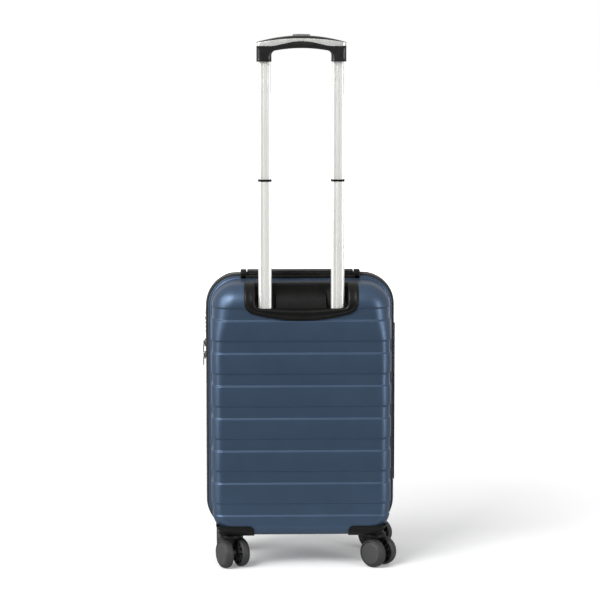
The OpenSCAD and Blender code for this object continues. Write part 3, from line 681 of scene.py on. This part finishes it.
def tube_section(width, depth):
    w, d, r = width / 2, depth / 2, depth / 2 - 1
    path = fillet_path([(-w, -d, r), (w, -d, r), (w, d, r), (-w, d, r)], step=0.6)
    dense = []
    for i in range(len(path)):
        a, b = path[i], path[(i + 1) % len(path)]
        k = max(1, int(np.linalg.norm(b - a) / 0.3))
        dense += [a + (b - a) * t for t in np.linspace(0, 1, k, endpoint=False)]
    out = []
    for x, y in dense:
        if abs(abs(y) - d) < 0.01:
            y -= math.copysign(flute(x, w), y)
        out.append((x, y))
    return np.array(out)


def make_tube(node, name, body):
    lo, hi = box(node)
    outside = tube_section(hi[0] - lo[0], hi[1] - lo[1])
    inside = outside * np.array([1 - 2 * TUBE_WALL / (hi[0] - lo[0]),
                                 1 - 2 * TUBE_WALL / (hi[1] - lo[1])])
    rim = outside * 0.99
    middle = np.array([(lo[0] + hi[0]) / 2, (lo[1] + hi[1]) / 2])
    b = Build()
    b.grid(np.array([at_height(section + middle, z) for section, z in (
        (inside, hi[2] - 12), (inside, hi[2] - 0.1), (rim, hi[2]), (outside, hi[2] - 0.4),
        (outside, lo[2] + 0.4), (rim, lo[2]), (inside, lo[2] + 0.1), (inside, lo[2] + 12))]))
    obj = b.make(name, ALU)
    smooth_by_angle(obj, 35)
    settle(obj, body, node)


for side in ("left", "right"):
    make_tube("middle_tube_" + side, "fluted_middle_" + side, "middle_stage")
    make_tube("inner_tube_" + side, "fluted_inner_" + side, "grip_stage")

# ---------------- grip
grip_lo, grip_hi = box("grip_body")
LEG_Z, GRIP_TOP = grip_lo[2], grip_hi[2]
GRIP_HALF = (grip_hi[0] - grip_lo[0]) / 2
GRIP_Y, GRIP_HY = (grip_lo[1] + grip_hi[1]) / 2, (grip_hi[1] - grip_lo[1]) / 2
LEG_IN = GRIP_HALF - 27.5  # the inner side of a leg
END_R = 7.5  # rounding of the grip's ends, seen from above
ARCH_RISE, ARCH_R, ARCH_CORNER = 24.2, 262, 9.0  # the arch between the legs


def z_top(x):
    """The crest of the cap."""
    return GRIP_TOP - 12.2 * (x / GRIP_HALF) ** 2


def z_up(x):
    """The line between the silver band and the cap."""
    return GRIP_TOP - 4.7 - 7.9 * (x / GRIP_HALF) ** 2


def z_low(x):
    """The line between the silver band and the body."""
    t = min(abs(x) / LEG_IN, 1.0)
    return GRIP_TOP - 9.9 - 8.8 * t * t * (3 - 2 * t) * (0.55 + 0.45 * t)


def z_arch(x):
    return LEG_Z + ARCH_RISE - (ARCH_R - math.sqrt(ARCH_R ** 2 - x * x))


def plan_half(x):
    """Half the grip's depth at x."""
    a = max(abs(x) - (GRIP_HALF - END_R), 0.0)
    return GRIP_HY - (END_R - math.sqrt(max(END_R * END_R - a * a, 0.0)))


def grip_outline():
    """The body from the front, counter-clockwise: feet, arch, ends and the band's lower line."""
    r = ARCH_CORNER
    zc = z_arch(LEG_IN - r) - r
    turns = np.linspace(0, QUARTER, 10)[1:-1]
    path = [(x, LEG_Z) for x in np.linspace(-GRIP_HALF, -LEG_IN, 12)]
    path += [(-LEG_IN, z) for z in np.linspace(LEG_Z, zc, 8)[1:]]
    path += [(-LEG_IN + r - r * math.cos(t), zc + r * math.sin(t)) for t in turns]
    path += [(x, z_arch(x)) for x in np.linspace(-LEG_IN + r, LEG_IN - r, 31)]
    path += [(LEG_IN - r + r * math.sin(t), zc + r * math.cos(t)) for t in turns]
    path += [(LEG_IN, z) for z in np.linspace(zc, LEG_Z, 8)[:-1]]
    path += [(x, LEG_Z) for x in np.linspace(LEG_IN, GRIP_HALF, 12)]
    path += [(GRIP_HALF, z) for z in np.linspace(LEG_Z, z_low(GRIP_HALF), 12)[1:]]
    path += [(x, z_low(x)) for x in np.linspace(GRIP_HALF, -GRIP_HALF, 81)[1:]]
    path += [(-GRIP_HALF, z) for z in np.linspace(z_low(GRIP_HALF), LEG_Z, 12)[1:-1]]
    return np.array(path)


def grip_body():
    """Two legs under an arch; the upright edges are rounded more than the feet."""
    path = grip_outline()
    n = ring_normals(path)
    r = np.full(len(path), 5.0)
    for i, (x, z) in enumerate(path):
        on_side = abs(abs(x) - GRIP_HALF) < 0.01 or abs(abs(x) - LEG_IN) < 0.01
        if abs(z - LEG_Z) < 0.01:
            r[i] = 1.0
            if not on_side:
                n[i] = (0, -1)
        elif abs(z - z_low(x)) < 0.01:
            r[i] = 0.0
        elif on_side:
            r[i] = 7.5
    for _ in range(2):
        r = (np.roll(r, 1) + 2 * r + np.roll(r, -1)) / 4
    rings = []
    for sign in (-1, 1):
        part = []
        for a in np.linspace(0, QUARTER, 8):
            ring = path - n * (r * (1 - math.sin(a)))[:, None]
            level = GRIP_Y + sign * (GRIP_HY - r * (1 - math.cos(a)))
            part.append(np.stack([ring[:, 0], level, ring[:, 1]], 1))
        rings += part if sign < 0 else part[::-1]
    b = Build()
    b.tube(np.array(rings))
    obj = b.make("grip_shell", GRIP, merge=0.001)
    smooth_by_angle(obj, 40)
    settle(obj, "grip_stage", "grip_body")


def band_section(x):
    h, lo, hi = plan_half(x) + 0.25, z_low(x) - 0.05, z_up(x) + 0.05
    half = [(h - 0.6, lo), (h - 0.1, lo + 0.35), (h, lo + 0.9),
            (h, hi - 0.9), (h - 0.1, hi - 0.35), (h - 0.6, hi)]
    return half + [(-y, z) for y, z in half[::-1]]


def cap_section(x):
    h, lo = max(plan_half(x) - 0.25, 0.3), z_up(x)
    rise = max(z_top(x), lo + 0.2) - lo
    half = [(h * math.cos(t) ** 0.55, lo + rise * math.sin(t) ** 0.9)
            for t in np.linspace(0, QUARTER, 14)]
    return half + [(-y, z) for y, z in half[::-1][1:]]


def grip_loft(name, section, mat, node=None):
    """A strip from end to end of the grip; section gives its (y, z) points at x."""
    ends = GRIP_HALF - END_R * (1 - np.sin(np.linspace(0, QUARTER, 12)))
    mid = np.linspace(-GRIP_HALF + END_R, GRIP_HALF - END_R, 57)
    xs = np.concatenate([-ends[::-1], mid[1:-1], ends])
    b = Build()
    b.tube([[(x, GRIP_Y + y, z) for y, z in section(x)] for x in xs])
    obj = b.make(name, mat, merge=0.001)
    smooth_by_angle(obj, 50)
    settle(obj, "grip_stage", node)


grip_body()
grip_loft("grip_band", band_section, SILVER, "grip_trim")
grip_loft("grip_cap", cap_section, GRIP)

# ---------------- zipper
TAPE_OUT, TAPE_T, COIL_OUT, SKIN = 9.3, 1.6, 10.5, 0.4
TURN, STITCH, STITCH_D = 0.42, 1.5, 8.6  # spacing along the coil and stitches; the seam's depth
# the coil's section: outwards, from the seam plane, and how much a gap between turns is set in
COIL_SECTION = (
    (TAPE_OUT - 0.4, 2.6, 0), (TAPE_OUT + 0.35, 2.6, 0.3), (COIL_OUT - 0.35, 2.2, 0.6),
    (COIL_OUT, 1.6, 0.8), (COIL_OUT, 0.9, 0.8), (COIL_OUT - 0.2, SKIN, 0.5),
    (TAPE_OUT - 0.4, SKIN, 0))


def fine_ring(out, spacing):
    """Evenly spaced points round the case outline grown by out, and their outward normals."""
    w, h, r = HALF_W + out, HALF_H + out, CORNER_R + out
    sx, sz, quarter = 2 * (w - r), 2 * (h - r), math.pi * r / 2
    total = 2 * (sx + sz) + 4 * quarter
    n = int(total / spacing) // 4 * 4
    pts, normals = [], []
    for i in range(n):
        s = total * i / n
        for k, length in enumerate((sz, quarter, sx, quarter) * 2):
            if s <= length or k == 7:
                break
            s -= length
        half_a, half_b = (w, h) if k % 4 < 2 else (h, w)
        if k % 2 == 0:
            x, z, nx, nz = half_a, -length / 2 + s, 1.0, 0.0
        else:
            nx, nz = math.cos(s / r), math.sin(s / r)
            x, z = half_a - r + r * nx, half_b - r + r * nz
        c, q = math.cos(QUARTER * (k // 2)), math.sin(QUARTER * (k // 2))
        pts.append((x * c - z * q, Z_MID + x * q + z * c))
        normals.append((nx * c - nz * q, nx * q + nz * c))
    return np.array(pts), np.array(normals)


def make_zip(name, side, body, node):
    """Half of the zipper: tape folded over the flange, the coil's turns, and a row of stitches."""
    d0 = TAPE_W - 0.2
    profile = [(0.6, d0), (4.0, d0 - 0.1), (TAPE_OUT - 1.3, d0)]
    profile += arc(TAPE_OUT - 1.2, d0 - 1.2, 1.2, 80, 0)
    profile += [(TAPE_OUT, 9.0), (TAPE_OUT - 0.15, 7.0), (TAPE_OUT, 5.0), (TAPE_OUT, 2.8),
                (TAPE_OUT - 0.1, SKIN), (TAPE_OUT - TAPE_T, SKIN),
                (TAPE_OUT - TAPE_T, d0 - TAPE_T), (0.6, d0 - TAPE_T)]
    tape = Build()
    outline_sweep(tape, profile, side)

    ring, n = fine_ring(0.0, TURN)
    gap = 1 - np.array([1.0, 1.0, 0.0, 0.0])[np.arange(len(ring)) % 4]
    coil = Build()
    coil.grid(np.array([at_depth(ring + n * (out - gain * gap)[:, None], side * d)
                        for out, d, gain in COIL_SECTION]), close_rows=True)

    ring, n = fine_ring(TAPE_OUT, STITCH)
    stitches = Build()
    for i in range(0, len(ring) - 3, 3):
        a, b, m = ring[i], ring[i + 1] * 0.6 + ring[i + 2] * 0.4, n[i]
        loop = []
        for p, lift in ((a, -0.1), ((a + b) / 2, 0.28), (b, -0.1)):
            q = p + m * lift
            under = q - m * 0.3
            loop.append([(e[0], side * (STITCH_D + w), e[1]) for e, w in (
                (q, -0.32), (q, 0.32), (under, 0.32), (under, -0.32))])
        stitches.grid(loop)

    settle(tape.make(name + "_tape", TAPE), body, node)
    settle(coil.make(name + "_coil", COIL, smooth=False), body)
    settle(stitches.make(name + "_stitching", WEBBING), body)


make_zip("back_zip", -1, "case", "back_zipper_tape")
make_zip("front_zip", 1, "lid", "front_zipper_tape")

# ---------------- carry handle on the top
base_lo, base_hi = box("carry_handle_base")
bar_lo, bar_hi = box("carry_handle")
CAP_IN, CAP_OUT = base_hi[0] - 12, base_hi[0]
SKIRT_Y = -12.9  # the base hangs over the seam behind this
PLATE_Z = Z_TOP + 10.7
BAR_Z1 = base_hi[2] - 0.6
BAR_Z0 = BAR_Z1 - 3.9
STOP_Z = Z_TOP - 10


def make_carry_base():
    path = fillet_path([(base_lo[1], base_lo[2], 1.0), (SKIRT_Y, base_lo[2], 0.6),
                        (SKIRT_Y, PLATE_Z, 0.8), (base_hi[1], PLATE_Z, 0.8),
                        (base_hi[1], base_hi[2], 3.5), (base_lo[1], base_hi[2], 6.5)], step=0.5)
    for s, x0, x1 in (("left", -CAP_OUT, -CAP_IN - 0.6), ("right", CAP_IN + 0.6, CAP_OUT)):
        cap = rounded_prism("carry_cap_" + s, path, x0, x1, 1.9, BLACK, "yzx", 6)
        settle(cap, "case")
    for name, end, low, high, r, axes, corner, node in (
            ("skirt", 1, (base_lo[1], base_lo[2]), (SKIRT_Y, Z_TOP + 7.2), 1.0, "yzx", 1.5,
             "carry_handle_base"),
            ("ridge", 2, (-14.7, Z_TOP + 6.6), (-12.7, Z_TOP + 11.2), 0.7, "yzx", 0.7, None),
            ("plate", 2, (-14.4, PLATE_Z), (-0.9, Z_TOP + 11.9), 0.3, "xyz", 1.0, None)):
        half = CAP_OUT - end
        piece = boxed("carry_" + name, (-half, *low), (half, *high), r, BLACK, axes, corner)
        settle(piece, "case", node)


def make_carry_strap():
    """A moulded bar whose ends are rounded, and the straps that go down into the shell."""
    mid, half = (bar_lo[1] + bar_hi[1]) / 2, (bar_hi[1] - bar_lo[1]) / 2
    z_mid, z_half = (BAR_Z0 + BAR_Z1) / 2, (BAR_Z1 - BAR_Z0) / 2
    length = CAP_IN - 0.6
    end = length - 2 * (1 - np.cos(np.linspace(QUARTER, 0, 6)))
    rows = []
    for x in np.concatenate([-end[::-1], np.linspace(-length + 3, length - 3, 61), end]):
        inset = max(0.0, abs(x) - (length - 2)) ** 2 / 4 * 0.9
        section = []
        for t in np.linspace(0, 2 * math.pi, 40, endpoint=False):
            c, q = math.cos(t), math.sin(t)
            section.append((x, mid + (half - inset) * math.copysign(abs(c) ** 0.35, c),
                            z_mid + (z_half - inset) * math.copysign(abs(q) ** 0.6, q)))
        rows.append(section)
    b = Build()
    b.tube(rows)
    strap = b.make("carry_strap", PEBBLE)
    smooth_by_angle(strap, 60)
    settle(strap, "carry", "carry_handle")
    for s, sign in (("left", -1), ("right", 1)):
        x = sign * (CAP_OUT - 6)
        for name, wide, top, r in (("end", 2.2, BAR_Z1 - 0.3, 0.6),
                                   ("stop", 3.6, Z_TOP - 7.6, 0.5)):
            piece = boxed("carry_strap_" + name + "_" + s, (x - wide, -10, STOP_Z),
                          (x + wide, -4, top), r, BLACK, "xyz", 0.8)
            settle(piece, "carry")


make_carry_base()
make_carry_strap()

# ---------------- twin wheels
WHEEL_R = (box("wheel_rl_a")[1][2] - box("wheel_rl_a")[0][2]) / 2
DRAWN_R, W = 27.0, 8.25  # the profiles are drawn for this radius and half width
# (radius, towards the outer side)
TYRE = np.array([
    (21.9, W - 1.7), (22.1, W - 0.9), (22.5, W - 0.6), (23.2, W - 0.8), (24.1, W - 1.5),
    (25.1, W - 2.6), (26.0, W - 4.2), (26.7, W - 6.1), (27.0, W - 8.2), (27.0, -W + 5.2),
    (26.8, -W + 3.0), (26.2, -W + 1.5), (25.2, -W + 0.5), (24.0, -W), (22.9, -W + 0.1),
    (22.3, -W + 0.8), (22.0, -W + 6.2), (7.4, -W + 6.6), (7.0, -W + 1.2), (6.4, -W + 0.2),
    (3.4, -W), (2.8, -W + 0.3), (2.8, W - 3.2), (21.9, W - 3.2)])
TYRE[:, 0] *= WHEEL_R / DRAWN_R
COVER = np.array([
    (0.0, W - 0.02), (5, W - 0.06), (12, W - 0.25), (17.5, W - 0.55), (20.2, W - 0.85),
    (21.0, W - 1.2), (21.3, W - 1.8), (21.3, W - 3.0), (0.0, W - 3.0)])
GROOVE = np.array([(21.2, W - 2.2), (22.1, W - 2.2), (22.1, W - 3.4), (21.2, W - 3.4)])
RIBS, RIB_IN, RIB_OUT, RIB_HALF = 9, 6.5, 21.5, 0.8


def spokes(centre, axis, name):
    """Ribs in the hollow inner side of a wheel."""
    up = np.array([0, 0, 1.0])
    level = np.cross(axis, up)
    b = Build()
    for k in range(RIBS):
        t = 2 * math.pi * k / RIBS
        ray = math.cos(t) * up + math.sin(t) * level
        across = -math.sin(t) * up + math.cos(t) * level
        b.tube([[centre + ray * r + across * s * RIB_HALF + axis * a
                 for s, a in ((-1, -7.0), (1, -7.0), (1, -2.6), (-1, -2.6))]
                for r in (RIB_IN, RIB_OUT)])
    return b.make(name, TREAD, smooth=False)


def make_wheel(name, partner):
    centre, other = (sum(box(n)) / 2 for n in (name, partner))
    axis = (centre - other) / np.linalg.norm(centre - other)
    for part, profile, mat, node in (("_tyre", TYRE, TREAD, name), ("_cover", COVER, DISC, None),
                                     ("_groove", GROOVE, BLACK, None)):
        obj = lathe(profile, centre, axis, name + part, mat)
        smooth_by_angle(obj, 50)
        settle(obj, name, node)
    settle(spokes(centre, axis, name + "_ribs"), name)


for c in CASTERS:
    make_wheel("wheel_" + c + "_a", "wheel_" + c + "_b")
    make_wheel("wheel_" + c + "_b", "wheel_" + c + "_a")


# ---------------- CAD nodes that keep their shape
def dress(names, mat, width, segments=2):
    """Gives CAD nodes their finish and rounds their edges."""
    for n in names:
        obj = nodes[n]
        obj.data.materials.clear()
        obj.data.materials.append(mat)
        for p in obj.data.polygons:
            p.material_index = 0
        soften(obj, width, segments)


dress(["hinge_tape_case", "hinge_tape_lid"], TAPE, 0.3)
dress(["zipper_slider_upper", "zipper_slider_lower"], GUNMETAL, 0.5, 3)
dress(["zipper_pull_upper", "zipper_pull_lower"], GUNMETAL, 0.6, 3)
dress(["lock_body"], BLACK, 1.2, 3)
dress(["lock_dial_1", "lock_dial_2", "lock_dial_3"], GREY, 0.2)
dress(["lock_button"], GREY, 0.5, 3)
dress(["key_cylinder", "housing_screws"], STEEL, 0.25)
dress(["sleeve_tube_left", "sleeve_tube_right", "release_rods"], ALU, 0.3)
dress(["tube_foot"], BLACK, 0.8)
dress(["middle_collars"], BLACK, 0.5)
dress(["grip_button"], GREY, 1.0, 3)
dress(["latch_pin_left", "latch_pin_right"], STEEL, 0.2)
dress(["back_liner", "back_liner_panel", "front_liner", "divider_panel"], LINING, 0.5)
dress(["packing_straps"], WEBBING, 0.3)
dress(["strap_buckles"], BLACK, 1.0, 3)
dress(["caster_fork_" + c for c in CASTERS], BLACK, 0.8, 3)
dress(["caster_axle_" + c for c in CASTERS], STEEL, 0.2)

# ---------------- caster housings
HOUSING_TOP, CORNER_CUT, FAR = Z_BOT + 20.0, 10.0, 9.0


def round_cap(corner):
    """A caster housing whose upper inner corners are round, from behind and from the side."""
    name = "caster_housing_" + corner
    node = nodes[name]
    lo, hi = box(name)
    piece = bpy.data.objects.new("cap_" + corner, node.data.copy())
    piece.matrix_world = node.matrix_world.copy()
    bpy.context.scene.collection.objects.link(piece)
    cutters = []
    for axis, axes in ((0, "xzy"), (1, "yzx")):
        inner, outer = lo[axis], hi[axis] + FAR
        if lo[axis] + hi[axis] <= 0:
            inner, outer = hi[axis], lo[axis] - FAR
        path = fillet_path([(inner, lo[2] - FAR, 0), (outer, lo[2] - FAR, 0),
                            (outer, HOUSING_TOP, 0), (inner, HOUSING_TOP, CORNER_CUT)])
        across = 1 - axis
        cutter = rounded_prism("cutter", path, lo[across] - FAR, hi[across] + FAR, 0.01, None,
                               axes, 1)
        cut = piece.modifiers.new("round", "BOOLEAN")
        cut.operation, cut.solver, cut.object = "INTERSECT", "EXACT", cutter
        cutters.append(cutter)
    depsgraph = bpy.context.evaluated_depsgraph_get()
    mesh = bpy.data.meshes.new_from_object(piece.evaluated_get(depsgraph))
    piece.modifiers.clear()
    piece.data = mesh
    for cutter in cutters:
        bpy.data.objects.remove(cutter)
    mesh.materials.clear()
    mesh.materials.append(BLACK)
    for p in mesh.polygons:
        p.material_index = 0
    soften(piece, 0.9, 3)
    settle(piece, "case" if corner[0] == "r" else "lid", name)


for c in CASTERS:
    round_cap(c)

# ---------------- camera, light and floor
FILL = 0.62  # the room's brightness
FRONT_DIM = 0.76  # how much darker it is low down in front
CASE_MIDDLE = (0.0, -0.1, 0.3)


def light(name, kind, place, aim, energy, size):
    """A lamp that points at aim; size is a panel's sides in metres, or the sun's angle."""
    data = bpy.data.lights.new(name, kind)
    data.energy = energy
    if kind == "AREA":
        data.shape = "RECTANGLE"
        data.size, data.size_y = size
    else:
        data.angle = size
    obj = bpy.data.objects.new(name, data)
    obj.location = place
    way = Vector(aim) - Vector(place)
    obj.rotation_euler = way.to_track_quat("-Z", "Y").to_euler()
    bpy.context.scene.collection.objects.link(obj)


def ramp(tree, value, start, end, low, high):
    return ranged(tree, value, low, high, start, end, interpolation_type="SMOOTHSTEP")


def world_light():
    """A white room, darker low down in front of the case, where there is no floor."""
    world = bpy.data.worlds.new("studio")
    bpy.context.scene.world = world
    world.use_nodes = True
    tree = world.node_tree
    tree.nodes.clear()
    way = add_node(tree, "TexCoord").outputs["Generated"]
    split = add_node(tree, "SeparateXYZ", {0: way})
    front = ramp(tree, split.outputs[1], -0.97, -0.55, 1.0, 0.0)
    low = ramp(tree, split.outputs[2], 0.10, 0.65, 1.0, 0.0)
    under = ramp(tree, split.outputs[2], -0.25, -0.02, 0.55, 1.0)
    dim = maths(tree, "MULTIPLY", maths(tree, "MULTIPLY", front, low), FRONT_DIM)
    fill = maths(tree, "MULTIPLY", maths(tree, "SUBTRACT", 1.0, dim), FILL)
    white = (1, 1, 1, 1)
    room = add_node(tree, "Background", {
        "Color": white, "Strength": maths(tree, "MULTIPLY", fill, under)})
    backdrop = add_node(tree, "Background", {"Color": white, "Strength": 1.0})
    seen = add_node(tree, "LightPath").outputs["Is Camera Ray"]
    mix = add_node(tree, "MixShader", {0: seen, 1: room.outputs[0], 2: backdrop.outputs[0]})
    add_node(tree, "OutputWorld", {"Surface": mix.outputs[0]})


def sweep_floor():
    """The paper sweep: pale under the case and white behind it, both by painted light (a glow that
    grows with distance), and painted dark in reflections.
    """
    x, y0, y1 = 9000, -380, 12000
    floor = new_mesh("floor", [(-x, y0, 0), (x, y0, 0), (x, y1, 0), (-x, y1, 0)],
                     [(0, 1, 2, 3)], FLOOR, smooth=False)
    tree = FLOOR.node_tree
    paper = tree.nodes["Principled BSDF"].inputs
    split = add_node(tree, "SeparateXYZ", {0: add_node(tree, "TexCoord").outputs["Object"]})
    # painted light: the floor glows faintly near the case, lightening its shade, and more and more
    # up to white behind it
    tree.links.new(ramp(tree, split.outputs[1], 0.9, 3.4, 0.13, 1.0), paper["Emission Strength"])
    # painted reflection: rays that reflect off the shell see the floor nearly black
    glossy = add_node(tree, "LightPath").outputs["Is Glossy Ray"]
    shown = maths(tree, "SUBTRACT", 1.0, maths(tree, "MULTIPLY", glossy, 0.7))
    color = paper["Base Color"].links[0].from_socket
    tree.links.new(mixed(tree, shown, (0.02, 0.02, 0.02), color), paper["Base Color"])
    paper["Emission Color"].default_value = (1, 1, 1, 1)


def studio():
    scene = bpy.context.scene
    scene.view_settings.view_transform = "Standard"
    scene.view_settings.look = "None"
    scene.view_settings.exposure = 0.0
    world_light()
    sweep_floor()
    light("key", "SUN", (-1.9, -1.0, 1.5), (0, 0, 0), 1.3, math.radians(32))
    light("softbox", "AREA", (-1.3, -2.0, 2.1), (0.0, -0.1, 0.45), 48, (1.0, 1.0))
    light("strip left", "AREA", (-2.1, -1.5, 0.6), CASE_MIDDLE, 16, (0.9, 1.7))
    light("strip right", "AREA", (1.9, -1.6, 0.6), CASE_MIDDLE, 24, (0.5, 1.7))
    camera = bpy.data.objects.new("camera", bpy.data.cameras.new("camera"))
    scene.collection.objects.link(camera)
    camera.location = (-0.130, -5.0, 1.25)
    camera.rotation_euler = (math.radians(81.4), 0, math.radians(-1.49))
    camera.data.lens = 161.1
    camera.data.sensor_width = 36
    camera.data.clip_end = 60
    scene.camera = camera


studio()
